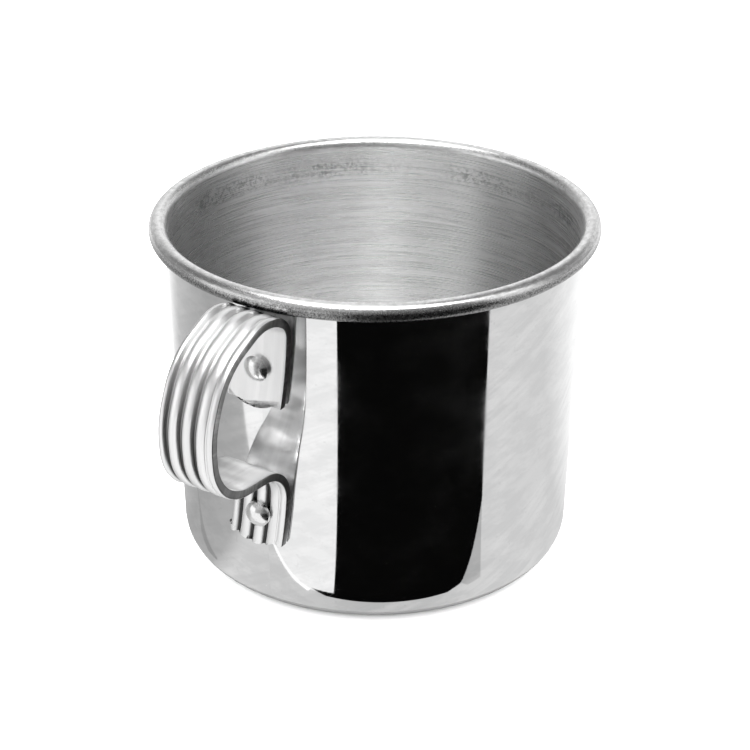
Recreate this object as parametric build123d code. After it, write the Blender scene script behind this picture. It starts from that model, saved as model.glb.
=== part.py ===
"""Drawn aluminium cup with a rolled rim and a ribbed strap handle on two rivets.

Millimetres, +Z up. The origin is the centre of the underside, on the cup's axis.
The handle stands out along +X.
"""
import os
from math import asin, atan2, cos, hypot, radians, sin, sqrt, tan

from build123d import *

# Cup: drawn from one sheet
cup_height = 72.0
rim_diameter = 90.0
sheet = 0.7
wall_draft = 2.1
base_corner_radius = 7.0

# Rim: the sheet rolled outwards into a bead, open underneath
bead_diameter = 3.7
curl_end_angle = -108.0

# Strip that the handle is bent from: smooth on one side, ribbed on the other
strap_width = 12.1
strap_thickness = 1.8
groove_depth = 0.6
groove_flank_angle = 48.0
groove_floor_radius = 0.3
rib_crown = 0.14
strap_edge_round = 0.2
tab_end_radius = 7.4

# Grooves, rolled side by side: each has its middle as a share of the strip's width and its
# depth as a share of groove_depth. The last one is hardly rolled in.
groove_shares = ((0.145, 1.0), (0.395, 1.0), (0.65, 1.0), (0.87, 0.35))

# Handle loop, along the middle of the strip's thickness, with heights below the rim
loop_reach = 25.1
loop_height = 33.4
loop_top_drop = 1.8
top_bend_radius = 4.4
bead_clearance = 0.25
bottom_bend_radius = 8.6
bottom_bend_dip = 0.9
handle_lean = 2.3

# Corners of the loop from the top bend round to its underside. Each has its reach as a share
# of loop_reach, its height as a share of loop_height, and how much its bend takes up of the
# shorter of the two straight runs that meet there.
loop_corner_shares = (
    (0.300, 1.010, 0.64),
    (0.835, 0.840, 0.48),
    (1.010, 0.495, 0.37),
    (0.925, 0.030, 0.62),
)

# Rivets and the tabs that they hold
upper_rivet_drop = 15.8
lower_rivet_below_loop = 12.9
upper_tab_below_rivet = 8.9
lower_tab_below_rivet = 7.4
shank_diameter = 2.8
shank_clearance = 0.05
outer_head_diameter = 5.3
outer_head_height = 1.95
outer_head_land = 0.7
inner_head_diameter = 5.6
inner_head_height = 0.9
inner_head_land = 0.35
seat_gap = 0.02

cut_overrun = 2.0

# Worked out from the sizes above
rim_radius = rim_diameter / 2
bead_radius = bead_diameter / 2
bead_bore_radius = bead_radius - sheet
bead_x = rim_radius - bead_radius
bead_z = cup_height - bead_radius
draft_cos = cos(radians(wall_draft))
draft_sin = sin(radians(wall_draft))
draft_tan = tan(radians(wall_draft))
wall_top_x = bead_x - bead_bore_radius * draft_cos
wall_top_z = bead_z + bead_bore_radius * draft_sin
groove_slope = radians(groove_flank_angle)
tab_seat = seat_gap + strap_thickness / 2
loop_top_z = cup_height - loop_top_drop
loop_bottom_z = loop_top_z - loop_height
upper_rivet_z = cup_height - upper_rivet_drop
lower_rivet_z = loop_bottom_z - lower_rivet_below_loop
lean_pivot_z = (upper_rivet_z + lower_rivet_z) / 2
lean_axis = Axis((0, 0, lean_pivot_z), (1, 0, 0))


def wall_x(height):
    """Outer radius of the tapered wall at a height."""
    return wall_top_x + (height - wall_top_z) * draft_tan


def on_wall(height):
    """Frame on the wall's outer face: X points out of the wall and Z up along it."""
    return Location((wall_x(height), 0, height), (0, wall_draft, 0))


def leaned(solid):
    """Turn a piece of the handle with the slight lean that the handle is riveted on at."""
    return solid.rotate(lean_axis, -handle_lean)


def side_disc(radius, depth, start):
    """Cylinder along X from start, to be placed with on_wall."""
    return Plane.YZ.offset(start) * extrude(Circle(radius), depth)


def rivet_hole():
    """Cutter for a shank, right through the strap and the wall."""
    depth = 2 * cut_overrun + sheet + strap_thickness
    return side_disc(shank_diameter / 2 + shank_clearance, depth, -sheet - cut_overrun)


def ring_point(radius, angle):
    """Point of the rolled rim's section at an angle round the bead's centre."""
    return (bead_x + radius * cos(radians(angle)), bead_z + radius * sin(radians(angle)))


def cup_section():
    """Half section of the cup: base, corner, wall and rolled rim, one sheet thick."""
    corner_z = base_corner_radius
    # The corner's outer arc touches the base and the drafted wall
    corner_x = wall_x(corner_z) - base_corner_radius / draft_cos
    inner_corner_radius = base_corner_radius - sheet

    def corner_point(radius, angle):
        return (corner_x + radius * cos(radians(angle)), corner_z + radius * sin(radians(angle)))

    corner_middle = (-90 - wall_draft) / 2
    curl_start = 180 - wall_draft
    curl_middle = (curl_start + curl_end_angle) / 2
    outline = [
        Line((0, 0), corner_point(base_corner_radius, -90)),
        ThreePointArc(
            corner_point(base_corner_radius, -90),
            corner_point(base_corner_radius, corner_middle),
            corner_point(base_corner_radius, -wall_draft),
        ),
        Line(corner_point(base_corner_radius, -wall_draft), ring_point(bead_bore_radius, curl_start)),
        ThreePointArc(
            ring_point(bead_bore_radius, curl_start),
            ring_point(bead_bore_radius, curl_middle),
            ring_point(bead_bore_radius, curl_end_angle),
        ),
        Line(ring_point(bead_bore_radius, curl_end_angle), ring_point(bead_radius, curl_end_angle)),
        ThreePointArc(
            ring_point(bead_radius, curl_end_angle),
            ring_point(bead_radius, curl_middle),
            ring_point(bead_radius, curl_start),
        ),
        Line(ring_point(bead_radius, curl_start), corner_point(inner_corner_radius, -wall_draft)),
        ThreePointArc(
            corner_point(inner_corner_radius, -wall_draft),
            corner_point(inner_corner_radius, corner_middle),
            corner_point(inner_corner_radius, -90),
        ),
        Line(corner_point(inner_corner_radius, -90), (0, sheet)),
        Line((0, sheet), (0, 0)),
    ]
    return Plane.XZ * make_face(Wire(outline))


def cup_body():
    # Turned half round so that the surface's seam lies opposite the rivet holes
    body = Rot(0, 0, 180) * revolve(cup_section(), Axis.Z)
    for height in (upper_rivet_z, lower_rivet_z):
        body -= leaned(on_wall(height) * rivet_hole())
    return body


def tab_point(height):
    """Middle of the strip's thickness where a tab lies on the wall."""
    return (on_wall(height) * Location((tab_seat, 0, 0))).position


def under_bead(loop_top):
    """Corner on the upper tab's line from which the strip clears the bead up to loop_top."""
    out = loop_top.X - bead_x
    up = loop_top.Z - bead_z
    clear = bead_radius + bead_clearance + strap_thickness / 2
    slope = tan(atan2(up, out) + asin(clear / hypot(out, up)))
    tab_x = wall_x(0) + tab_seat / draft_cos
    height = (loop_top.Z - (loop_top.X - tab_x) * slope) / (1 - slope * draft_tan)
    return Vector(tab_x + height * draft_tan, 0, height)


def bend_radius(before, corner, after, share):
    """Radius of the bend at a corner that takes up a share of the shorter run beside it."""
    turn = (corner - before).get_angle(after - corner)
    return share * min((corner - before).length, (after - corner).length) / tan(radians(turn / 2))


def strap_path():
    """Centre line of the strip from the upper tab's end round the loop to the lower tab's end."""
    loop = [
        Vector(wall_top_x + reach_share * loop_reach, 0, loop_bottom_z + height_share * loop_height)
        for reach_share, height_share, bend_share in loop_corner_shares
    ]
    corners = [under_bead(loop[0]), *loop, tab_point(loop_bottom_z - bottom_bend_dip)]
    radii = [top_bend_radius]
    for index, (reach_share, height_share, bend_share) in enumerate(loop_corner_shares):
        radii.append(bend_radius(*corners[index : index + 3], bend_share))
    radii.append(bottom_bend_radius)
    start = tab_point(upper_rivet_z - upper_tab_below_rivet)
    end = tab_point(lower_rivet_z - lower_tab_below_rivet)
    return FilletPolyline(start, *corners, end, radius=radii)


def strap_section():
    """Section of the strip: flat on one side, with grooves between crowned ribs on the other."""
    half_width = strap_width / 2
    half_thickness = strap_thickness / 2
    shoulder = half_thickness - rib_crown
    # Where the round floor of a groove meets its two flanks
    floor_reach = groove_floor_radius * sin(groove_slope)
    floor_rise = groove_floor_radius * (1 - cos(groove_slope))
    outline = []
    left = (-half_width, shoulder)
    for place_share, depth_share in groove_shares:
        middle = (place_share - 1 / 2) * strap_width
        depth = depth_share * groove_depth
        mouth = floor_reach + (depth - floor_rise) / tan(groove_slope)
        floor = shoulder - depth
        right = (middle - mouth, shoulder)
        outline.append(ThreePointArc(left, ((left[0] + right[0]) / 2, half_thickness), right))
        floor_left = (middle - floor_reach, floor + floor_rise)
        floor_right = (middle + floor_reach, floor + floor_rise)
        left = (middle + mouth, shoulder)
        outline.append(Line(right, floor_left))
        outline.append(ThreePointArc(floor_left, (middle, floor), floor_right))
        outline.append(Line(floor_right, left))
    right = (half_width, shoulder)
    outline.append(ThreePointArc(left, ((left[0] + right[0]) / 2, half_thickness), right))
    outline.append(Line(right, (half_width, -half_thickness)))
    outline.append(Line((half_width, -half_thickness), (-half_width, -half_thickness)))
    outline.append(Line((-half_width, -half_thickness), (-half_width, shoulder)))
    section = make_face(Wire(outline))
    sides = section.vertices().filter_by(lambda corner: abs(abs(corner.X) - half_width) < seat_gap)
    return fillet(sides, strap_edge_round)


def tab_end_cutter():
    """What a tab's convex end takes off, below the arc that ends the strip."""
    depth = 2 * cut_overrun + strap_thickness
    block = Box(depth, strap_width + 2 * cut_overrun, tab_end_radius + cut_overrun)
    block = Pos(0, 0, (tab_end_radius - cut_overrun) / 2) * block
    disc = Pos(0, 0, tab_end_radius) * side_disc(tab_end_radius, depth, -depth / 2)
    return block - disc


def handle_strap():
    path = strap_path()
    start = Plane(origin=path @ 0, x_dir=(0, 1, 0), z_dir=path % 0)
    strap = sweep(start * strap_section(), path=path)
    for rivet_z, below in (
        (upper_rivet_z, upper_tab_below_rivet),
        (lower_rivet_z, lower_tab_below_rivet),
    ):
        strap -= on_wall(rivet_z - below) * Pos(tab_seat, 0, 0) * tab_end_cutter()
        strap -= on_wall(rivet_z) * rivet_hole()
    return leaned(strap)


def rivet(height):
    """Solid rivet: domed head on the strap, shank, low crowned head inside the cup."""
    outer_radius = outer_head_diameter / 2
    inner_radius = inner_head_diameter / 2
    shank_radius = shank_diameter / 2
    # The inner head's flat side meets the hollow side of the round wall at its own edge
    lean_shift = abs(height - lean_pivot_z) * sin(radians(handle_lean))
    wall_bore = wall_x(height) - sheet / draft_cos
    hollow = wall_bore - sqrt(wall_bore**2 - (inner_radius + lean_shift) ** 2)
    outer_seat = 2 * seat_gap + strap_thickness
    inner_seat = -sheet - hollow - seat_gap
    outer_top = outer_seat + outer_head_height
    inner_top = inner_seat - inner_head_height
    outer_shoulder = (outer_seat + outer_head_land, outer_radius)
    inner_shoulder = (inner_seat - inner_head_land, inner_radius)
    outline = [
        Line((inner_top, 0), (outer_top, 0)),
        TangentArc((outer_top, 0), outer_shoulder, tangent=(0, 1)),
        Line(outer_shoulder, (outer_seat, outer_radius)),
        Line((outer_seat, outer_radius), (outer_seat, shank_radius)),
        Line((outer_seat, shank_radius), (inner_seat, shank_radius)),
        Line((inner_seat, shank_radius), (inner_seat, inner_radius)),
        Line((inner_seat, inner_radius), inner_shoulder),
        TangentArc((inner_top, 0), inner_shoulder, tangent=(0, 1)),
    ]
    section = Plane.XZ * make_face(Wire(outline))
    return leaned(on_wall(height) * revolve(section, Axis.X))


parts = {
    "cup_body": cup_body(),
    "handle_strap": handle_strap(),
    "upper_rivet": rivet(upper_rivet_z),
    "lower_rivet": rivet(lower_rivet_z),
}

os.makedirs("parts", exist_ok=True)
for name, solid in parts.items():
    export_step(solid, f"parts/{name}.step")
    size = solid.bounding_box().size
    print(f"{name}: {solid.volume:.1f} mm3, {size.X:.2f} x {size.Y:.2f} x {size.Z:.2f} mm")
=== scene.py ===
"""Finishes of the riveted aluminium cup: spun body, ribbed strap handle and two domed rivets.

Metres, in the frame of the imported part: +Z up, handle along +X.
"""
from math import asin, atan2, cos, hypot, pi, radians, sin, sqrt, tan

import bmesh
import bpy
from mathutils import Matrix, Vector


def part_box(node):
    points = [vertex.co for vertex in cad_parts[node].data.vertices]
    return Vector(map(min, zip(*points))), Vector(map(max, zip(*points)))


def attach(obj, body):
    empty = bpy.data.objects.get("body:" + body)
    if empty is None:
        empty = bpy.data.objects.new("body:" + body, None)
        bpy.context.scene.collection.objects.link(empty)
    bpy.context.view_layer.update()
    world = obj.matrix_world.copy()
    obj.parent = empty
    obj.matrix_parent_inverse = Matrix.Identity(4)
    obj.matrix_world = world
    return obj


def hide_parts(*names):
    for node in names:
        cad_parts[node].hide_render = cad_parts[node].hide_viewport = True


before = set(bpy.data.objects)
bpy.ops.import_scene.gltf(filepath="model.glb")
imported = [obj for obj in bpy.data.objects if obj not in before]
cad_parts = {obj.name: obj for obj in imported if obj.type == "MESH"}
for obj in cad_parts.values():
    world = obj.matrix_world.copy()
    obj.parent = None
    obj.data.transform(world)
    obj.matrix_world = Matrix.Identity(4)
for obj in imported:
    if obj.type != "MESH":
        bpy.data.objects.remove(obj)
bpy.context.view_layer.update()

MM = 0.001

# Cup, read from the frame where the frame has it
cup_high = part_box("cup_body")[1]
cup_height = cup_high.z
rim_radius = cup_high.x
sheet = 0.7 * MM
wall_draft = radians(2.1)
base_corner_radius = 7.0 * MM
bead_radius = 1.85 * MM
curl_end = radians(-108)
cup_turn_steps = 288

# Strip of the handle
strap_width = 12.1 * MM
strap_thickness = 1.8 * MM
groove_depth = 0.6 * MM
groove_slope = radians(48)
groove_floor_radius = 0.3 * MM
rib_crown = 0.14 * MM
strap_edge_round = 0.2 * MM
strap_edge_turn = radians(80)
tab_end_radius = 7.4 * MM
strap_run_step = 1.2 * MM
strap_bend_step = radians(3.5)

# Each groove: its middle as a share of the strip's width, its depth as a share of the full depth
groove_shares = ((0.145, 1.0), (0.395, 1.0), (0.65, 1.0), (0.87, 0.15))

# The strip isn't quite straight: it runs a little to one side, and its two tabs fall back
strap_side_shift = 0.5 * MM
tab_lean_drop = 1.6 * MM
tab_lean_reach = 19.0 * MM

# Loop of the handle
loop_reach = 25.1 * MM
loop_height = 33.4 * MM
loop_top_drop = 1.8 * MM
top_bend_radius = 4.4 * MM
bead_clearance = 0.25 * MM
bottom_bend_radius = 8.6 * MM
bottom_bend_dip = 0.9 * MM
handle_lean = radians(2.3)

# Each corner: its reach and height as shares of the loop's, and its bend as a share of the shorter run
loop_corner_shares = (
    (0.300, 1.010, 0.64),
    (0.835, 0.840, 0.48),
    (1.010, 0.495, 0.37),
    (0.925, 0.030, 0.62),
)

# Rivets and tabs
upper_rivet_drop = 15.8 * MM
lower_rivet_below_loop = 12.9 * MM
upper_tab_below_rivet = 8.9 * MM
lower_tab_below_rivet = 7.4 * MM
shank_radius = 1.4 * MM
outer_head_radius = 2.65 * MM
outer_head_height = 1.95 * MM
outer_head_land = 0.7 * MM
inner_head_radius = 2.8 * MM
inner_head_height = 0.9 * MM
inner_head_land = 0.35 * MM
seat_gap = 0.02 * MM
rivet_turn_steps = 64

# Points closer than this are one, and edges that turn less than these angles are smooth
merge_reach = 0.0005 * MM
turned_edge_angle = radians(38)
strap_edge_angle = radians(50)

# Mottled band inside the cup: distances below the rim between which it comes and goes
band_comes = (9.0 * MM, 7.0 * MM)
band_goes = (5.5 * MM, 3.5 * MM)

# Distances along the strip from its upper end between which the marks of bending begin on its
# flat side, and the painted shade in its grooves begins to deepen
marks_begin = (26 * MM, 36 * MM)
groove_shade_begins = (34 * MM, 62 * MM)

# Distances from the bead between which the painted shade on the strip under the rolled rim thins out
bead_shade_reach = (0.5 * MM, 1.9 * MM)

# Camera, round a point on the cup's axis
camera_azimuth = 121.5
camera_elevation = 26.12
camera_distance = 512.5 * MM
camera_aim_height = 36.21 * MM
camera_lens = 119.97
camera_sensor = 36.0
camera_clip = (0.01, 20)

# White floor, a hair under the cup, and the table above it that reflections see
floor_radius = 3.0
floor_drop = 0.05 * MM
table_near = 38 * MM
table_far = 2900 * MM
table_lift = 0.3 * MM
table_turn_steps = 96
floor_turn_steps = 64

# Worked out from the sizes above
bore_radius = bead_radius - sheet
bead_x = rim_radius - bead_radius
bead_z = cup_height - bead_radius
wall_top_x = bead_x - bore_radius * cos(wall_draft)
wall_top_z = bead_z + bore_radius * sin(wall_draft)
tab_seat = seat_gap + strap_thickness / 2
loop_top_z = cup_height - loop_top_drop
loop_bottom_z = loop_top_z - loop_height
upper_rivet_z = cup_height - upper_rivet_drop
lower_rivet_z = loop_bottom_z - lower_rivet_below_loop
lean_pivot_z = (upper_rivet_z + lower_rivet_z) / 2
strap_shoulder = strap_thickness / 2 - rib_crown
camera_bearing = camera_azimuth - 90


def wall_x(height):
    """Outer radius of the tapered wall at a height."""
    return wall_top_x + (height - wall_top_z) * tan(wall_draft)


def on_wall(height):
    """Matrix that puts X out of the wall and Z up along it."""
    return Matrix.Translation((wall_x(height), 0, height)) @ Matrix.Rotation(wall_draft, 4, "Y")


def leaned():
    """Matrix of the slight lean that the handle is riveted on at."""
    pivot = Matrix.Translation((0, 0, lean_pivot_z))
    return pivot @ Matrix.Rotation(-handle_lean, 4, "X") @ pivot.inverted()


class Outline:
    """Line of edges in the XZ plane, drawn with bmesh operators and measured as it goes."""

    def __init__(self, mesh, x, z):
        self.mesh = mesh
        self.travel = mesh.verts.layers.float.get("travel") or mesh.verts.layers.float.new("travel")
        self.start = self.tip = mesh.verts.new((x, 0, z))
        self.length = 0.0
        self.marks = []

    def _step(self, reach, move):
        made = bmesh.ops.extrude_vert_indiv(self.mesh, verts=[self.tip])["verts"]
        move(made)
        self.tip = made[0]
        self.length += reach
        self.tip[self.travel] = self.length

    def line(self, x, z, steps=1):
        """Straight to a point."""
        step = (Vector((x, 0, z)) - self.tip.co) / steps
        for _ in range(steps):
            self._step(step.length, lambda made: bmesh.ops.translate(self.mesh, verts=made, vec=step))

    def arc(self, centre_x, centre_z, angle, steps):
        """Round a centre, by an angle that is positive from X towards Z."""
        centre = Vector((centre_x, 0, centre_z))
        turn = Matrix.Rotation(-angle / steps, 3, "Y")
        reach = abs(angle) / steps * (self.tip.co - centre).length
        for _ in range(steps):
            self._step(reach, lambda made: bmesh.ops.rotate(self.mesh, verts=made, cent=centre, matrix=turn))

    def mark(self):
        """Notes the length so far, where one finish ends and the next begins."""
        self.marks.append(self.length)

    def close(self):
        """Joins the last point to the first."""
        self.mesh.edges.new((self.tip, self.start))


def revolve_outline(mesh, steps):
    """Full turn round Z of all that the mesh holds, with its seam and poles merged."""
    geometry = mesh.verts[:] + mesh.edges[:]
    bmesh.ops.spin(
        mesh, geom=geometry, cent=(0, 0, 0), axis=(0, 0, 1), angle=2 * pi, steps=steps, use_merge=True)
    bmesh.ops.remove_doubles(mesh, verts=mesh.verts, dist=merge_reach)


def new_object(name, mesh, materials):
    """Object at the origin that takes over a bmesh."""
    data = bpy.data.meshes.new(name)
    mesh.to_mesh(data)
    mesh.free()
    for material in materials:
        data.materials.append(material)
    made = bpy.data.objects.new(name, data)
    bpy.context.scene.collection.objects.link(made)
    return made


def finished(name, mesh, materials, node, sharp=turned_edge_angle):
    """Piece that stands for a node: smooth faces, with the edges past the sharp angle kept crisp."""
    bmesh.ops.recalc_face_normals(mesh, faces=mesh.faces)
    for face in mesh.faces:
        face.smooth = True
    for edge in mesh.edges:
        edge.smooth = edge.calc_face_angle(0.0) < sharp
    piece = new_object(name, mesh, materials)
    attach(piece, "root")
    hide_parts(node)


# Shader nodes


def grey(tone):
    """Colour of one tone."""
    return (tone, tone, tone, 1)


def add_node(tree, kind, inputs=None, **settings):
    """New node with its settings, and its inputs set to values or linked to sockets."""
    made = tree.nodes.new(kind)
    for name, value in settings.items():
        setattr(made, name, value)
    for name, value in (inputs or {}).items():
        if isinstance(value, bpy.types.NodeSocket):
            tree.links.new(value, made.inputs[name])
        else:
            made.inputs[name].default_value = value
    return made


def maths(tree, operation, first, second=0.0, clamp=False):
    """Output of one sum."""
    inputs = {0: first, 1: second}
    return add_node(tree, "ShaderNodeMath", inputs, operation=operation, use_clamp=clamp).outputs[0]


def multiply(tree, first, second):
    """Output of a product."""
    return maths(tree, "MULTIPLY", first, second)


def hypotenuse(tree, first, second):
    """Output of the root of two squares added up."""
    squares = maths(tree, "ADD", maths(tree, "POWER", first, 2.0), maths(tree, "POWER", second, 2.0))
    return maths(tree, "SQRT", squares)


def remap(tree, value, given, wanted=(0.0, 1.0), smooth=True):
    """Output that passes through the wanted range as the value passes through the given one."""
    kind = "SMOOTHSTEP" if smooth else "LINEAR"
    ranges = {"From Min": given[0], "From Max": given[1], "To Min": wanted[0], "To Max": wanted[1]}
    inputs = {"Value": value, **ranges}
    return add_node(tree, "ShaderNodeMapRange", inputs, interpolation_type=kind).outputs["Result"]


def mix_colours(tree, factor, first, second):
    """Colour output between two colours or colour outputs."""
    return add_node(tree, "ShaderNodeMix", {0: factor, 6: first, 7: second}, data_type="RGBA").outputs[2]


def separated(tree, vector):
    """Outputs X, Y and Z of a vector."""
    return add_node(tree, "ShaderNodeSeparateXYZ", {"Vector": vector}).outputs


def stretched(tree, vector, scale):
    """Vector output scaled along each axis."""
    inputs = {0: vector, 1: scale}
    return add_node(tree, "ShaderNodeVectorMath", inputs, operation="MULTIPLY").outputs[0]


def grain(tree, vector, scale, detail=2.0, roughness=0.5):
    """Noise output."""
    inputs = {"Vector": vector, "Scale": scale, "Detail": detail, "Roughness": roughness}
    return add_node(tree, "ShaderNodeTexNoise", inputs).outputs["Fac"]


def add_bump(tree, height, rise, under=None):
    """Normal output of a bump of a real height."""
    inputs = {"Height": height, "Distance": rise, "Strength": 1.0}
    if under is not None:
        inputs["Normal"] = under
    return add_node(tree, "ShaderNodeBump", inputs).outputs["Normal"]


# Effects that more than one finish uses


def new_group(name, inputs, outputs):
    """Empty node group, with its input and output nodes."""
    group = bpy.data.node_groups.new(name, "ShaderNodeTree")
    for socket, (kind, value) in inputs.items():
        made = group.interface.new_socket(socket, in_out="INPUT", socket_type=kind)
        if value is not None:
            made.default_value = value
    for socket in outputs:
        group.interface.new_socket(socket, in_out="OUTPUT", socket_type="NodeSocketFloat")
    return group, group.nodes.new("NodeGroupInput").outputs, group.nodes.new("NodeGroupOutput").inputs


def use_group(tree, group, **inputs):
    """Outputs of a group placed in a material."""
    return add_node(tree, "ShaderNodeGroup", inputs, node_tree=group).outputs


def brushed_lines_group():
    """Fine lines and broader streaks along the long axes of stretched coordinates."""
    inputs = {
        "Vector": ("NodeSocketVector", None),
        "Fineness": ("NodeSocketFloat", 1.0),
    }
    group, given, result = new_group("brushed_lines", inputs, ["Lines", "Streaks"])
    fine = grain(group, given["Vector"], given["Fineness"], 3.0, 0.6)
    coarse_scale = multiply(group, given["Fineness"], 0.22)
    coarse = grain(group, given["Vector"], coarse_scale, 2.0, 0.55)
    group.links.new(remap(group, fine, (0.3, 0.7)), result["Lines"])
    group.links.new(remap(group, coarse, (0.35, 0.68)), result["Streaks"])
    return group


def scratches_group():
    """Sparse thin scratches: the places where a stretched noise crosses its middle."""
    inputs = {
        "Vector": ("NodeSocketVector", None),
        "Scale": ("NodeSocketFloat", 1.0),
        "Width": ("NodeSocketFloat", 0.006),
        "Amount": ("NodeSocketFloat", 0.5),
    }
    group, given, result = new_group("scratches", inputs, ["Scratches"])
    field = grain(group, given["Vector"], given["Scale"], 0.0)
    distance = maths(group, "ABSOLUTE", maths(group, "SUBTRACT", field, 0.5))
    line = remap(group, distance, (0.0, given["Width"]), (1.0, 0.0))
    patch_scale = multiply(group, given["Scale"], 0.7)
    patch = remap(group, grain(group, given["Vector"], patch_scale, 1.0), (0.5, 0.6))
    strength = multiply(group, line, multiply(group, patch, given["Amount"]))
    group.links.new(strength, result["Scratches"])
    return group


def specks_group():
    """Small pits and worn specks, and the pebbled field that they come from."""
    inputs = {
        "Vector": ("NodeSocketVector", None),
        "Scale": ("NodeSocketFloat", 1.0),
        "Amount": ("NodeSocketFloat", 0.5),
    }
    group, given, result = new_group("specks", inputs, ["Specks", "Pebbles"])
    field = grain(group, given["Vector"], given["Scale"], 2.0, 0.7)
    pits = multiply(group, remap(group, field, (0.62, 0.74)), given["Amount"])
    group.links.new(pits, result["Specks"])
    group.links.new(field, result["Pebbles"])
    return group


brushed_lines = brushed_lines_group()
scratches = scratches_group()
specks = specks_group()


# Finishes


def new_metal(name, anisotropic=0.0):
    """Material with a metal shader, its node tree and the object's own coordinates."""
    material = bpy.data.materials.new(name)
    material.use_nodes = True
    tree = material.node_tree
    shader = tree.nodes["Principled BSDF"]
    shader.inputs["Metallic"].default_value = 1.0
    shader.inputs["Anisotropic"].default_value = anisotropic
    place = add_node(tree, "ShaderNodeTexCoord").outputs["Object"]
    return material, tree, shader, place


def feed(tree, shader, colour, roughness, normal):
    """Links what changes over a surface to its shader."""
    tree.links.new(colour, shader.inputs["Base Color"])
    tree.links.new(roughness, shader.inputs["Roughness"])
    tree.links.new(normal, shader.inputs["Normal"])


def slanted(tree, place, slant, along, across):
    """Vector along and across lines that climb the wall at a slant, with its seam behind the handle."""
    parts = separated(tree, place)
    flipped = [multiply(tree, parts[axis], -1.0) for axis in "XY"]
    around = multiply(tree, maths(tree, "ARCTAN2", flipped[1], flipped[0]), wall_top_x)
    up = parts["Z"]
    climb = maths(tree, "SUBTRACT", multiply(tree, up, cos(slant)), multiply(tree, around, sin(slant)))
    onward = maths(tree, "ADD", multiply(tree, around, cos(slant)), multiply(tree, up, sin(slant)))
    inputs = {"X": multiply(tree, onward, along), "Y": multiply(tree, climb, across)}
    return add_node(tree, "ShaderNodeCombineXYZ", inputs).outputs["Vector"]


def polished_wall():
    """Outside of the cup: buffed to a mirror, with faint climbing lines, blotches and handling haze."""
    material, tree, shader, place = new_metal("polished_wall")
    climbing = slanted(tree, place, radians(27), 0.06, 1.0)
    steeper = slanted(tree, place, radians(55), 0.2, 1.0)
    level = slanted(tree, place, 0.0, 0.5, 1.0)
    lines = use_group(tree, brushed_lines, Vector=climbing, Fineness=2400.0)
    marks = use_group(tree, scratches, Vector=steeper, Scale=190.0, Width=0.004, Amount=0.6)
    pits = use_group(tree, specks, Vector=place, Scale=900.0, Amount=0.5)
    haze = grain(tree, place, 70.0, 5.0, 0.65)
    rough = remap(tree, haze, (0.38, 0.72), (0.02, 0.10))
    rough = maths(tree, "ADD", rough, multiply(tree, lines["Lines"], 0.012))
    rough = maths(tree, "ADD", rough, multiply(tree, marks["Scratches"], 0.12))
    blotches = remap(tree, grain(tree, level, 240.0, 3.0, 0.6), (0.42, 0.6), (0.0, 0.5))
    tone = multiply(tree, lines["Streaks"], remap(tree, haze, (0.42, 0.62), (0.2, 0.7)))
    tone = maths(tree, "SUBTRACT", maths(tree, "ADD", tone, blotches), pits["Specks"], True)
    waves = add_bump(tree, grain(tree, place, 38.0, 1.0), 0.05 * MM)
    normal = add_bump(tree, lines["Lines"], 0.0004 * MM, under=waves)
    feed(tree, shader, mix_colours(tree, tone, (0.84, 0.842, 0.844, 1), grey(0.965)), rough, normal)
    return material


def spun_inside():
    """Inside of the cup: satin, with the fine rings left by spinning and a mottled band under the rim."""
    material, tree, shader, place = new_metal("spun_inside", 1.0)
    shader.inputs["Anisotropic Rotation"].default_value = 0.25
    around = add_node(tree, "ShaderNodeTangent", direction_type="RADIAL", axis="Z").outputs["Tangent"]
    tree.links.new(around, shader.inputs["Tangent"])
    travel = add_node(tree, "ShaderNodeAttribute", attribute_name="travel").outputs["Fac"]
    parts = separated(tree, place)
    turned = {axis: multiply(tree, parts[axis], 0.014) for axis in "XY"}
    rings = add_node(tree, "ShaderNodeCombineXYZ", {**turned, "Z": travel}).outputs["Vector"]
    lines = use_group(tree, brushed_lines, Vector=rings, Fineness=3600.0)
    sparse = use_group(tree, brushed_lines, Vector=rings, Fineness=1500.0)
    pits = use_group(tree, specks, Vector=place, Scale=1300.0, Amount=0.9)
    comes = remap(tree, parts["Z"], [cup_height - drop for drop in band_comes])
    goes = remap(tree, parts["Z"], [cup_height - drop for drop in band_goes], (1.0, 0.0))
    band = multiply(tree, comes, goes)
    rough = remap(tree, lines["Lines"], (0.0, 1.0), (0.24, 0.32), False)
    tone = multiply(tree, lines["Lines"], remap(tree, sparse["Lines"], (0.0, 1.0), (0.45, 1.0), False))
    spun = mix_colours(tree, tone, grey(0.78), grey(1.0))
    patches = remap(tree, grain(tree, place, 90.0, 2.0), (0.4, 0.62), (0.1, 0.55))
    mottled = multiply(tree, remap(tree, pits["Pebbles"], (0.45, 0.62)), band)
    mottled = multiply(tree, mottled, patches)
    pebbles = add_bump(tree, multiply(tree, pits["Pebbles"], band), 0.03 * MM)
    normal = add_bump(tree, lines["Lines"], 0.008 * MM, under=pebbles)
    feed(tree, shader, mix_colours(tree, mottled, spun, grey(0.25)), rough, normal)
    return material


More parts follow.
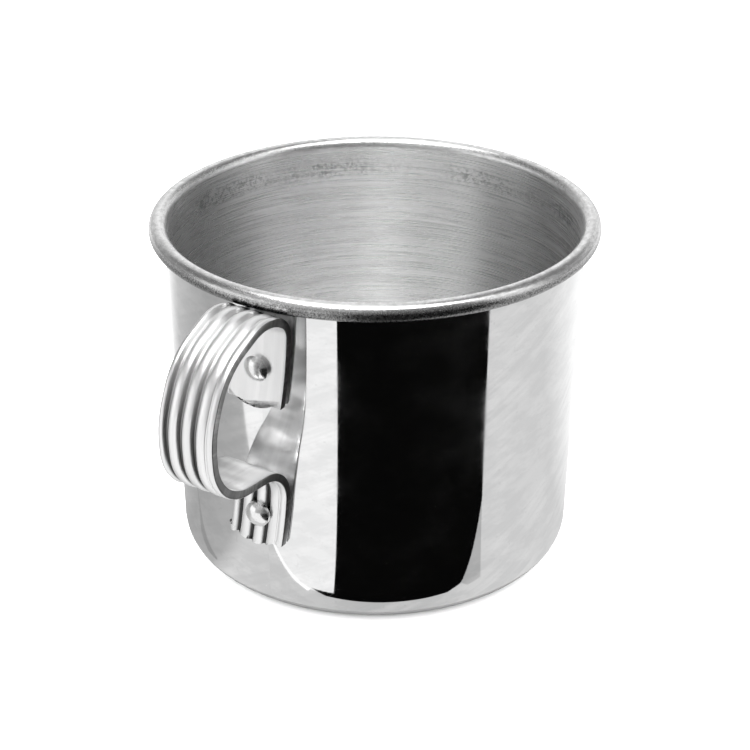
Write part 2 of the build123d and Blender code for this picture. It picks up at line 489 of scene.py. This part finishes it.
def rolled_bead():
    """Rolled rim: polished on top, dull inside, and grainy where the tool drew the sheet round, with painted
    shade darkening that lower outer side.
    """
    material, tree, shader, place = new_metal("rolled_bead")
    parts = separated(tree, place)
    out = hypotenuse(tree, parts["X"], parts["Y"])
    below = remap(tree, parts["Z"], (bead_z - 0.1 * bead_radius, bead_z + 0.75 * bead_radius), (1.0, 0.0))
    outside = remap(tree, out, (bead_x - 0.2 * bead_radius, bead_x + 0.5 * bead_radius))
    inside = remap(tree, out, (bead_x - bead_radius, bead_x - 0.4 * bead_radius), (1.0, 0.0))
    # Painted shade: the lower outer side of the bead, below its middle and outside, takes a dark colour
    drawn = multiply(tree, below, outside)
    pits = use_group(tree, specks, Vector=place, Scale=3600.0, Amount=0.9)
    around = stretched(tree, place, (0.15, 0.15, 1.0))
    lines = use_group(tree, brushed_lines, Vector=around, Fineness=3800.0)
    rough = remap(tree, pits["Pebbles"], (0.3, 0.75), (0.12, 0.26))
    rough = maths(tree, "ADD", rough, multiply(tree, drawn, 0.10))
    rough = maths(tree, "ADD", rough, multiply(tree, inside, 0.16))
    tone = maths(tree, "SUBTRACT", lines["Lines"], pits["Specks"], True)
    polished = mix_colours(tree, tone, grey(0.72), grey(0.95))
    # Dark grainy colour of that side: real grain with painted shade
    grainy = mix_colours(tree, remap(tree, pits["Pebbles"], (0.34, 0.7)), grey(0.10), grey(0.56))
    normal = add_bump(tree, pits["Pebbles"], 0.022 * MM)
    feed(tree, shader, mix_colours(tree, drawn, polished, grainy), rough, normal)
    return material


def near_bead(tree, place, thinning):
    """Mask of what lies close to the rolled rim."""
    parts = separated(tree, place)
    out = maths(tree, "SUBTRACT", hypotenuse(tree, parts["X"], parts["Y"]), bead_x)
    up = maths(tree, "SUBTRACT", parts["Z"], bead_z)
    gap = maths(tree, "SUBTRACT", hypotenuse(tree, out, up), bead_radius)
    return remap(tree, gap, thinning, (1.0, 0.0))


def drawn_strip():
    """Handle strip: satin, drawn lengthways, with worn cut edges that painted shade keeps dark, bending
    marks, grooves darkened by painted shade, and painted shade under the rim.
    """
    material, tree, shader, place = new_metal("drawn_strip")
    strip = add_node(tree, "ShaderNodeAttribute", attribute_name="strip").outputs["Vector"]
    parts = separated(tree, strip)
    lengthways = stretched(tree, strip, (0.03, 1.0, 1.0))
    rambling = stretched(tree, strip, (0.15, 1.0, 1.0))
    crosswise = stretched(tree, strip, (1.0, 0.2, 0.2))
    lines = use_group(tree, brushed_lines, Vector=lengthways, Fineness=3000.0)
    marks = use_group(tree, scratches, Vector=rambling, Scale=420.0, Width=0.008, Amount=0.6)
    rough = remap(tree, lines["Lines"], (0.0, 1.0), (0.30, 0.40))
    rough = maths(tree, "ADD", rough, multiply(tree, marks["Scratches"], 0.2))
    colour = mix_colours(tree, lines["Streaks"], grey(0.89), grey(0.98))

    # Soft marks across the flat side of the loop
    flat_face = -strap_thickness / 2
    flat_side = remap(tree, parts["Z"], (0.9 * flat_face, 0.7 * flat_face), (1.0, 0.0))
    bands = grain(tree, stretched(tree, strip, (1.0, 0.3, 0.0)), 190.0, 1.0)
    marked = multiply(tree, flat_side, remap(tree, bands, (0.4, 0.62), (0.0, 0.6)))
    marked = multiply(tree, marked, remap(tree, parts["X"], marks_begin))
    colour = mix_colours(tree, marked, colour, grey(0.30))

    # Painted shade in the grooves, deepening along the strip
    groove_fade = (strap_shoulder - 0.8 * groove_depth, strap_shoulder - 0.1 * groove_depth)
    low_down = remap(tree, parts["Z"], groove_fade, (1.0, 0.0))
    low_down = multiply(tree, low_down, remap(tree, parts["Z"], (0.0, groove_floor_radius / 2)))
    groove_shade = multiply(tree, low_down, remap(tree, parts["X"], groove_shade_begins, (0.1, 0.95)))
    colour = mix_colours(tree, groove_shade, colour, grey(0.015))

    # Cut edges, cross scratched and dull, with painted shade that keeps them dark grey
    across = maths(tree, "ABSOLUTE", parts["Y"])
    edge_fade = (strap_width / 2 - 0.7 * strap_edge_round, strap_width / 2 - 0.1 * strap_edge_round)
    chatter = use_group(tree, brushed_lines, Vector=crosswise, Fineness=1100.0)
    worn = multiply(tree, chatter["Lines"], chatter["Streaks"])
    edges = mix_colours(tree, worn, grey(0.34), grey(0.62))
    colour = mix_colours(tree, remap(tree, across, edge_fade), colour, edges)

    # Painted shade: the strip turns near black close to the rolled rim, where the rim shades it
    colour = mix_colours(tree, near_bead(tree, place, bead_shade_reach), colour, grey(0.03))
    feed(tree, shader, colour, rough, add_bump(tree, lines["Lines"], 0.003 * MM))
    return material


def domed_rivet():
    """Rivet: smooth from the setting tool, slightly uneven."""
    material, tree, shader, place = new_metal("domed_rivet")
    pits = use_group(tree, specks, Vector=place, Scale=1900.0, Amount=0.5)
    rough = remap(tree, pits["Pebbles"], (0.3, 0.7), (0.14, 0.24))
    normal = add_bump(tree, grain(tree, place, 420.0, 1.0), 0.06 * MM)
    feed(tree, shader, mix_colours(tree, pits["Specks"], grey(0.92), grey(0.6)), rough, normal)
    return material


# Pieces


def spun_cup():
    """Cup turned from the section of its sheet: underside, corner, wall, curl, then back inside."""
    mesh = bmesh.new()
    corner_z = base_corner_radius
    corner_x = wall_x(corner_z) - base_corner_radius / cos(wall_draft)
    inner_corner = base_corner_radius - sheet
    corner_turn = pi / 2 - wall_draft
    curl_start = pi - wall_draft
    curl_turn = curl_start - curl_end

    def on_bead(radius, angle):
        return bead_x + radius * cos(angle), bead_z + radius * sin(angle)

    wall_foot = corner_x + inner_corner * cos(wall_draft), corner_z - inner_corner * sin(wall_draft)
    section = Outline(mesh, 0, 0)
    section.line(corner_x, 0, steps=12)
    section.arc(corner_x, corner_z, corner_turn, steps=20)
    section.line(*on_bead(bore_radius, curl_start), steps=26)
    section.mark()
    section.arc(bead_x, bead_z, -curl_turn, steps=20)
    section.line(*on_bead(bead_radius, curl_end), steps=2)
    section.arc(bead_x, bead_z, curl_turn, steps=30)
    section.mark()
    section.line(*wall_foot, steps=26)
    section.arc(corner_x, corner_z, -corner_turn, steps=18)
    section.line(0, sheet, steps=12)
    wall_end, bead_end = section.marks
    travel = section.travel
    revolve_outline(mesh, cup_turn_steps)
    materials = [polished_wall(), spun_inside(), rolled_bead()]
    for face in mesh.faces:
        middle = sum(corner[travel] for corner in face.verts) / len(face.verts)
        face.material_index = 0 if middle < wall_end else 2 if middle < bead_end else 1
    finished("spun_cup", mesh, materials, "cup_body")


def tab_point(height):
    """Middle of the strip's thickness where a tab lies on the wall."""
    return on_wall(height) @ Vector((tab_seat, 0, 0))


def under_bead(loop_top):
    """Corner on the upper tab's line from which the strip clears the bead up to loop_top."""
    out = loop_top.x - bead_x
    up = loop_top.z - bead_z
    clear = bead_radius + bead_clearance + strap_thickness / 2
    slope = tan(atan2(up, out) + asin(clear / hypot(out, up)))
    tab_x = wall_x(0) + tab_seat / cos(wall_draft)
    height = (loop_top.z - (loop_top.x - tab_x) * slope) / (1 - slope * tan(wall_draft))
    return Vector((tab_x + height * tan(wall_draft), 0, height))


def strap_corners():
    """Corners of the strip's centre line, with the radius of the bend at each."""
    loop = [
        Vector((wall_top_x + reach * loop_reach, 0, loop_bottom_z + height * loop_height))
        for reach, height, _ in loop_corner_shares
    ]
    points = [
        tab_point(upper_rivet_z - upper_tab_below_rivet),
        under_bead(loop[0]),
        *loop,
        tab_point(loop_bottom_z - bottom_bend_dip),
        tab_point(lower_rivet_z - lower_tab_below_rivet),
    ]
    radii = [top_bend_radius]
    for index, (_, _, bend) in enumerate(loop_corner_shares, start=2):
        before = points[index] - points[index - 1]
        after = points[index + 1] - points[index]
        radii.append(bend * min(before.length, after.length) / tan(before.angle(after) / 2))
    radii.append(bottom_bend_radius)
    return points, radii


def rib(section, right):
    """Low crown from where the section has come to the next groove."""
    left = section.tip.co.x
    half = (right - left) / 2
    radius = (half**2 + rib_crown**2) / (2 * rib_crown)
    turn = 2 * asin(half / radius)
    section.arc(left + half, strap_shoulder + rib_crown - radius, -turn, steps=6)


def strip_outline(mesh):
    """Section of the strip, drawn flat: width along X, grooved side up."""
    half_width = strap_width / 2
    flat_face = -strap_thickness / 2
    floor_reach = groove_floor_radius * sin(groove_slope)
    floor_rise = groove_floor_radius * (1 - cos(groove_slope))
    edge = strap_edge_round
    section = Outline(mesh, -half_width, 0)
    section.line(-half_width, strap_shoulder - edge, steps=2)
    section.arc(-half_width + edge, strap_shoulder - edge, -strap_edge_turn, steps=5)
    for place_share, depth_share in groove_shares:
        middle = (place_share - 1 / 2) * strap_width
        depth = depth_share * groove_depth
        mouth = floor_reach + (depth - floor_rise) / tan(groove_slope)
        floor = strap_shoulder - depth
        rib(section, middle - mouth)
        section.line(middle - floor_reach, floor + floor_rise, steps=2)
        section.arc(middle, floor + groove_floor_radius, 2 * groove_slope, steps=6)
        section.line(middle + mouth, strap_shoulder, steps=2)
    rib(section, half_width - edge)
    section.arc(half_width - edge, strap_shoulder - edge, -strap_edge_turn, steps=5)
    section.line(half_width, flat_face + edge, steps=3)
    section.arc(half_width - edge, flat_face + edge, -pi / 2, steps=5)
    section.line(-half_width + edge, flat_face, steps=16)
    section.arc(-half_width + edge, flat_face + edge, -pi / 2, steps=5)
    section.close()
    bmesh.ops.remove_doubles(mesh, verts=mesh.verts, dist=merge_reach)


def round_tab_end(mesh, strip, ring, inward):
    """Sets the corners of a tab's last ring back, so that its end is an arc."""
    for vertex in ring:
        across = vertex[strip].y
        back = tab_end_radius - sqrt(tab_end_radius**2 - across**2)
        bmesh.ops.translate(mesh, verts=[vertex], vec=inward * back)


def ribbed_strap():
    """Strip bent along the loop: each straight run extruded, each bend turned step by step."""
    mesh = bmesh.new()
    strip_outline(mesh)
    # Length along the strip, place across it and height through it, for the finish
    strip = mesh.verts.layers.float_vector.new("strip")
    for vertex in mesh.verts:
        vertex[strip] = (0, vertex.co.x, vertex.co.z)
    points, radii = strap_corners()
    heading = (points[1] - points[0]).normalized()
    # The section's X becomes the strip's width along Y, and its Z the grooved side
    place = Matrix((
        (0, -heading.x, -heading.z, points[0].x),
        (1, 0, 0, 0),
        (0, -heading.z, heading.x, points[0].z),
        (0, 0, 0, 1),
    ))
    bmesh.ops.transform(mesh, matrix=place, verts=mesh.verts)
    first = list(mesh.verts)
    ring = mesh.edges[:]
    travelled = 0.0

    def advance(reach, move):
        nonlocal ring, travelled
        made = bmesh.ops.extrude_edge_only(mesh, edges=ring)["geom"]
        fresh = [item for item in made if isinstance(item, bmesh.types.BMVert)]
        ends = set(fresh)
        edges = [item for item in made if isinstance(item, bmesh.types.BMEdge)]
        ring = [edge for edge in edges if ends.issuperset(edge.verts)]
        move(fresh)
        travelled += reach
        for vertex in fresh:
            vertex[strip].x = travelled
        return fresh

    def run(start, end):
        steps = max(2, round((end - start).length / strap_run_step))
        step = (end - start) / steps
        for _ in range(steps):
            fresh = advance(step.length, lambda verts: bmesh.ops.translate(mesh, verts=verts, vec=step))
        return fresh

    def bend(centre, angle, radius):
        steps = max(4, round(abs(angle) / strap_bend_step))
        turn = Matrix.Rotation(angle / steps, 3, "Y")
        reach = abs(angle) / steps * radius
        for _ in range(steps):
            advance(reach, lambda verts: bmesh.ops.rotate(mesh, verts=verts, cent=centre, matrix=turn))

    here = points[0]
    for corner, onward, radius in zip(points[1:-1], points[2:], radii):
        heading = (corner - here).normalized()
        after = (onward - corner).normalized()
        angle = heading.angle(after)
        side = 1 if heading.cross(after).y > 0 else -1
        turn_in = corner - heading * radius * tan(angle / 2)
        run(here, turn_in)
        bend(turn_in + Vector((heading.z, 0, -heading.x)) * side * radius, side * angle, radius)
        here = corner + after * radius * tan(angle / 2)
    last = run(here, points[-1])
    round_tab_end(mesh, strip, first, (points[1] - points[0]).normalized())
    round_tab_end(mesh, strip, last, (points[-2] - points[-1]).normalized())
    for ends in (first, last):
        bmesh.ops.contextual_create(mesh, geom=ends)
    bmesh.ops.triangulate(mesh, faces=[face for face in mesh.faces if len(face.verts) > 4])
    for vertex in mesh.verts:
        from_end = min(vertex[strip].x, travelled - vertex[strip].x)
        lean_share = max(0.0, tab_lean_reach - from_end) / tab_lean_reach
        vertex.co.y += strap_side_shift - tab_lean_drop * lean_share**2
    bmesh.ops.transform(mesh, matrix=leaned(), verts=mesh.verts)
    finished("ribbed_strap", mesh, [drawn_strip()], "handle_strap", strap_edge_angle)


def dome(radius, rise):
    """Radius of the ball that a dome of this radius and rise is cut from."""
    return (radius**2 + rise**2) / (2 * rise)


def set_rivet(name, height, node, metal):
    """Rivet turned on its own axis, then laid on the wall."""
    mesh = bmesh.new()
    lean_shift = abs(height - lean_pivot_z) * sin(handle_lean)
    wall_bore = wall_x(height) - sheet / cos(wall_draft)
    hollow = wall_bore - sqrt(wall_bore**2 - (inner_head_radius + lean_shift) ** 2)
    outer_seat = 2 * seat_gap + strap_thickness
    inner_seat = -sheet - hollow - seat_gap
    outer_top = outer_seat + outer_head_height
    inner_top = inner_seat - inner_head_height
    outer_dome = dome(outer_head_radius, outer_head_height - outer_head_land)
    inner_dome = dome(inner_head_radius, inner_head_height - inner_head_land)
    section = Outline(mesh, 0, outer_top)
    section.arc(0, outer_top - outer_dome, -asin(outer_head_radius / outer_dome), steps=14)
    section.line(outer_head_radius, outer_seat, steps=2)
    section.line(shank_radius, outer_seat, steps=2)
    section.line(shank_radius, inner_seat, steps=3)
    section.line(inner_head_radius, inner_seat, steps=2)
    section.line(inner_head_radius, inner_seat - inner_head_land, steps=2)
    section.arc(0, inner_top + inner_dome, -asin(inner_head_radius / inner_dome), steps=10)
    revolve_outline(mesh, rivet_turn_steps)
    upright = Matrix.Rotation(pi / 2, 4, "Y")
    bmesh.ops.transform(mesh, matrix=leaned() @ on_wall(height) @ upright, verts=mesh.verts)
    finished(name, mesh, [metal], node)


# Studio. Bearings round the cup are in degrees from the camera's side, positive to the right.

# Plain light and the brightest tone that reflections meet
plain_light = 3.6
brightest_tone = 7.0

# Floor's own tone, and the one that metal reflects
floor_tone = 0.9
mirrored_floor_tone = 0.3

# What the wall reflects from the table: bearing and tone. It is darkest at the left, and bright
# behind the cup on either side.
table_tones = (
    (-180, 0.55), (-155, 0.75), (-145, 1.10), (-125, 0.60), (-90, 0.40), (-65, 0.45), (-55, 0.70),
    (0, 0.55), (50, 0.70), (95, 0.70), (130, 1.05), (145, 1.10), (155, 0.75), (180, 0.55),
)

# What stands and hangs round the table, from low down to overhead: bearing and tone
low_tones = (
    (-180, 0.95), (-150, 0.60), (-130, 0.30), (-95, 0.35), (-92, 1.10), (-54, 1.10), (-48, 0.45),
    (-12, 0.32), (6, 0.14), (58, 0.12), (64, 0.95), (84, 1.05), (96, 0.40), (120, 0.35), (150, 0.80),
    (180, 0.95),
)
middle_tones = (
    (-180, 0.95), (-150, 0.50), (-130, 0.18), (-91, 0.20), (-88, 0.46), (-58, 0.46), (-48, 0.60),
    (-12, 0.50), (6, 0.22), (56, 0.20), (62, 1.00), (84, 1.20), (96, 0.35), (120, 0.20), (150, 0.30),
    (180, 0.95),
)
ceiling_tones = (
    (-180, 0.90), (-150, 1.20), (-120, 1.70), (-91, 1.90), (-89, 2.10), (-62, 2.30), (-60, 6.50),
    (-15, 6.50), (-13, 4.60), (30, 4.40), (72, 3.40), (84, 0.90), (110, 0.30), (150, 0.25), (180, 0.90),
)
zenith_tone = 1.5

# Heights, in degrees, between which each of these passes into the next
low_to_middle = (20, 28)
middle_to_ceiling = (56, 61)
ceiling_to_zenith = (72, 82)

# Cards on the table: height above the floor, tone, and corners. Corners and heights are in
# millimetres, to the right of the cup's axis and towards the camera.
card_seam = ((-12, 47), (-50, 155), (-800, 2800))
studio_cards = {
    "black_card": (0.9, 0.002, (
        (-19, 45.5), *card_seam, (2200, 1800), (420, 230), (130, 85), (58, 51), (25, 42), (9, 45))),
    "white_card": (0.7, 0.95, ((-19, 45), (-2800, 45), (-2000, 2000), *reversed(card_seam))),
    "card_edge": (0.8, 1.2, ((-42, 45), (-19, 44), (-19, 45), (-42, 46))),
    "left_shade": (0.8, 0.32, ((-66, -10), (-56, 0), (-47, 8), (-38, 20), (-40, 20), (-49, 9))),
    "right_wedge": (0.8, 0.47, ((31, 38), (58, 51), (25, 44), (26, 40))),
}


def by_bearing(tree, place, tones, bearing_at_x=0.0):
    """Colour output that follows the bearing of a place round Z."""
    parts = separated(tree, place)
    turned = maths(tree, "DIVIDE", maths(tree, "ARCTAN2", parts["Y"], parts["X"]), 2 * pi)
    share = maths(tree, "FRACT", maths(tree, "ADD", turned, 0.5 - bearing_at_x / 360))
    ramp = add_node(tree, "ShaderNodeValToRGB", {"Fac": share})
    stops = ramp.color_ramp.elements
    for bearing, tone in tones[1:-1]:
        stops.new((bearing + 180) / 360)
    for stop, (bearing, tone) in zip(stops, tones):
        stop.color = grey(tone / brightest_tone)
    return ramp.outputs["Color"]


def new_glow(name):
    """Material of plain emission, and its emission node."""
    material = bpy.data.materials.new(name)
    material.use_nodes = True
    tree = material.node_tree
    tree.nodes.clear()
    light = add_node(tree, "ShaderNodeEmission")
    add_node(tree, "ShaderNodeOutputMaterial", {"Surface": light.outputs[0]})
    return material, light


def glow(name, tone):
    """Plain emission of one tone."""
    material, light = new_glow(name)
    light.inputs["Color"].default_value = grey(tone)
    return material


def glow_by_bearing(name, tones):
    """Emission that changes smoothly round the cup."""
    material, light = new_glow(name)
    tree = material.node_tree
    place = add_node(tree, "ShaderNodeTexCoord").outputs["Object"]
    tree.links.new(by_bearing(tree, place, tones), light.inputs["Color"])
    light.inputs["Strength"].default_value = brightest_tone
    return material


def studio_object(name, mesh, material):
    """Card that only reflections see, turned to the camera's side."""
    card = new_object(name, mesh, [material])
    card.rotation_euler.z = radians(camera_bearing)
    card.visible_camera = False
    card.visible_diffuse = False
    card.visible_shadow = False
    card.visible_transmission = False
    card.visible_volume_scatter = False


def build_studio():
    """Toned table round the cup, with the cards that lie on it."""
    mesh = bmesh.new()
    table = Outline(mesh, table_near, table_lift)
    table.line(table_far, table_lift)
    revolve_outline(mesh, table_turn_steps)
    studio_object("toned_table", mesh, glow_by_bearing("toned_table", table_tones))
    for name, (lift, tone, corners) in studio_cards.items():
        mesh = bmesh.new()
        mesh.faces.new([mesh.verts.new((near * MM, right * MM, lift * MM)) for right, near in corners])
        bmesh.ops.triangulate(mesh, faces=mesh.faces)
        studio_object(name, mesh, glow(name, tone))


def pale_floor():
    """White floor, a little darker where metal reflects it."""
    mesh = bmesh.new()
    bmesh.ops.create_circle(mesh, cap_ends=True, segments=floor_turn_steps, radius=floor_radius)
    bmesh.ops.translate(mesh, verts=mesh.verts, vec=(0, 0, -floor_drop))
    material = bpy.data.materials.new("pale_floor")
    material.use_nodes = True
    tree = material.node_tree
    shader = tree.nodes["Principled BSDF"]
    shader.inputs["Roughness"].default_value = 1.0
    shader.inputs["Specular IOR Level"].default_value = 0.0
    mirrored = add_node(tree, "ShaderNodeLightPath").outputs["Is Glossy Ray"]
    colour = mix_colours(tree, mirrored, grey(floor_tone), grey(mirrored_floor_tone))
    tree.links.new(colour, shader.inputs["Base Color"])
    new_object("pale_floor", mesh, [material])


def above(tree, rise, heights, lower, upper):
    """Colour output that passes from a lower band to an upper one between two heights, in degrees."""
    return mix_colours(tree, remap(tree, rise, [sin(radians(height)) for height in heights]), lower, upper)


def light_world():
    """Plain white light, and the studio's softboxes and dark corners for what metal reflects."""
    world = bpy.data.worlds.new("studio")
    bpy.context.scene.world = world
    # Met by rays alone, so that the plain light never gets into the reflections
    world.cycles.sampling_method = "NONE"
    world.use_nodes = True
    tree = world.node_tree
    tree.nodes.clear()
    place = add_node(tree, "ShaderNodeTexCoord").outputs["Generated"]
    rise = separated(tree, place)["Z"]
    low, middle, ceiling = (
        by_bearing(tree, place, tones, camera_bearing) for tones in (low_tones, middle_tones, ceiling_tones))
    over = above(tree, rise, low_to_middle, low, middle)
    over = above(tree, rise, middle_to_ceiling, over, ceiling)
    over = above(tree, rise, ceiling_to_zenith, over, grey(zenith_tone / brightest_tone))
    mirrored = add_node(tree, "ShaderNodeBackground", {"Color": over, "Strength": brightest_tone})
    plain = add_node(tree, "ShaderNodeBackground", {"Color": grey(1.0), "Strength": plain_light})
    glossy = add_node(tree, "ShaderNodeLightPath").outputs["Is Glossy Ray"]
    mix = add_node(tree, "ShaderNodeMixShader", {0: glossy, 1: plain.outputs[0], 2: mirrored.outputs[0]})
    add_node(tree, "ShaderNodeOutputWorld", {"Surface": mix.outputs[0]})


def add_camera():
    """Camera at the photograph's viewing angle."""
    data = bpy.data.cameras.new("photo_view")
    data.lens = camera_lens
    data.sensor_width = camera_sensor
    data.clip_start, data.clip_end = camera_clip
    camera = bpy.data.objects.new("photo_view", data)
    bpy.context.scene.collection.objects.link(camera)
    azimuth, elevation = radians(camera_azimuth), radians(camera_elevation)
    back = Vector((sin(azimuth) * cos(elevation), -cos(azimuth) * cos(elevation), sin(elevation)))
    camera.location = Vector((0, 0, camera_aim_height)) + back * camera_distance
    camera.rotation_euler = (-back).to_track_quat("-Z", "Y").to_euler()
    bpy.context.scene.camera = camera


spun_cup()
ribbed_strap()
rivet_metal = domed_rivet()
set_rivet("upper_rivet_dressed", upper_rivet_z, "upper_rivet", rivet_metal)
set_rivet("lower_rivet_dressed", lower_rivet_z, "lower_rivet", rivet_metal)
build_studio()
pale_floor()
light_world()
add_camera()

# Light goes to and fro between the inner walls many times
scene = bpy.context.scene
scene.view_settings.view_transform = "Standard"
scene.cycles.max_bounces = 26
scene.cycles.glossy_bounces = 24
scene.cycles.blur_glossy = 0
